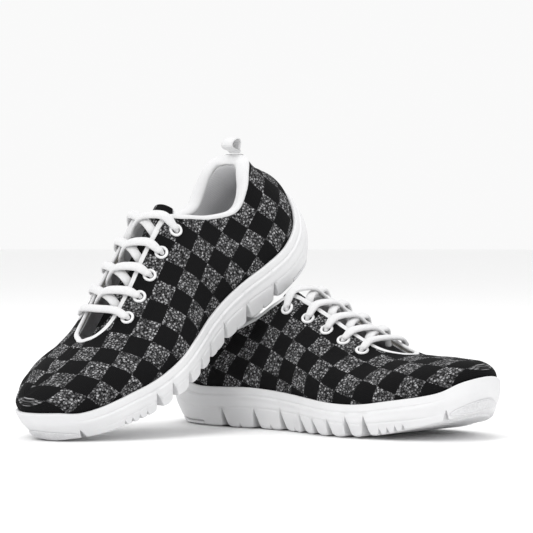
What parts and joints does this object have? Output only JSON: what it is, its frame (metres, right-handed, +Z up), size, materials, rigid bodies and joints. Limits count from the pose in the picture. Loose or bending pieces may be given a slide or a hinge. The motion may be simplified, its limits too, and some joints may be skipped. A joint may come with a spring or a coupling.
{
  "type": "cheer shoes",
  "caption": "Pair of low lace-up cheer trainers with knitted uppers and grooved flexible foam soles; the left shoe leans on the right.",
  "frame": {"origin": "middle of the pair's footprint, on the floor", "axes": "+Z up, +X along the length of the pair as it lies, to the toe of the right shoe, +Y to the back of the pair"},
  "size_m": [0.3143, 0.209, 0.1975],
  "materials": {
    "sole_foam": "matt moulded foam",
    "sole_rubber": "fine ribbed rubber",
    "foot_board": "non-woven board",
    "insole_foam": "knit covered foam",
    "knit_upper": "black knitted mesh with grey printed squares",
    "stiffener": "pressed fibre sheet",
    "lining_mesh": "white air mesh",
    "padding_foam": "soft foam",
    "binding_tape": "woven tape",
    "eyelet_plastic": "white",
    "tongue_fabric": "black printed knit",
    "lace_cotton": "woven oval lace",
    "aglet_plastic": "clear white",
    "webbing": "woven webbing"
  },
  "bodies": {
    "right_shoe": {"right_midsole": "sole_foam", "right_heel_pad": "sole_rubber", "right_toe_pad": "sole_rubber", "right_board": "foot_board", "right_insole": "insole_foam", "right_upper": "knit_upper", "right_heel_counter": "stiffener", "right_toe_puff": "stiffener", "right_lining": "lining_mesh", "right_collar_padding": "padding_foam", "right_collar_binding": "lining_mesh", "right_throat_binding": "binding_tape", "right_eyelets": "eyelet_plastic", "right_eyestays": "stiffener", "right_lace": "lace_cotton"},
    "right_tongue": {"right_tongue": "tongue_fabric", "right_tongue_lining": "lining_mesh", "right_aglets": "aglet_plastic"},
    "right_pull_loop": {"right_pull_loop": "webbing"},
    "left_shoe": {"left_midsole": "sole_foam", "left_heel_pad": "sole_rubber", "left_toe_pad": "sole_rubber", "left_board": "foot_board", "left_insole": "insole_foam", "left_upper": "knit_upper", "left_heel_counter": "stiffener", "left_toe_puff": "stiffener", "left_lining": "lining_mesh", "left_collar_padding": "padding_foam", "left_collar_binding": "lining_mesh", "left_throat_binding": "binding_tape", "left_eyelets": "eyelet_plastic", "left_eyestays": "stiffener", "left_lace": "lace_cotton"},
    "left_tongue": {"left_tongue": "tongue_fabric", "left_tongue_lining": "lining_mesh", "left_aglets": "aglet_plastic"},
    "left_pull_loop": {"left_pull_loop": "webbing"}
  },
  "joints": [
    {"name": "right_tongue_fold", "type": "hinge", "parent": "right_shoe", "child": "right_tongue", "pos_m": [0.09432, -0.03538, 0.044], "axis": [-0.66, -0.7513, 0], "range_deg": [0, 8], "stiffness_Nm_per_rad": 0.15},
    {"name": "right_loop_flop", "type": "hinge", "parent": "right_shoe", "child": "right_pull_loop", "pos_m": [-0.03415, 0.07748, 0.0856], "axis": [-0.66, -0.7513, 0], "range_deg": [-20, 20], "stiffness_Nm_per_rad": 0.004},
    {"name": "left_tongue_fold", "type": "hinge", "parent": "left_shoe", "child": "left_tongue", "pos_m": [-0.10671, -0.04786, 0.06036], "axis": [-0.6911, 0.7226, 0.0148], "range_deg": [0, 8], "stiffness_Nm_per_rad": 0.15},
    {"name": "left_loop_flop", "type": "hinge", "parent": "left_shoe", "child": "left_pull_loop", "pos_m": [-0.01625, 0.03609, 0.18582], "axis": [-0.6911, 0.7226, 0.0148], "range_deg": [-40, 40], "stiffness_Nm_per_rad": 0.004},
    {"name": "left_shoe_lift", "type": "slide", "parent": "right_shoe", "child": "left_shoe", "axis": [0, 0, 1], "range_m": [0, 0.12]}
  ]
}
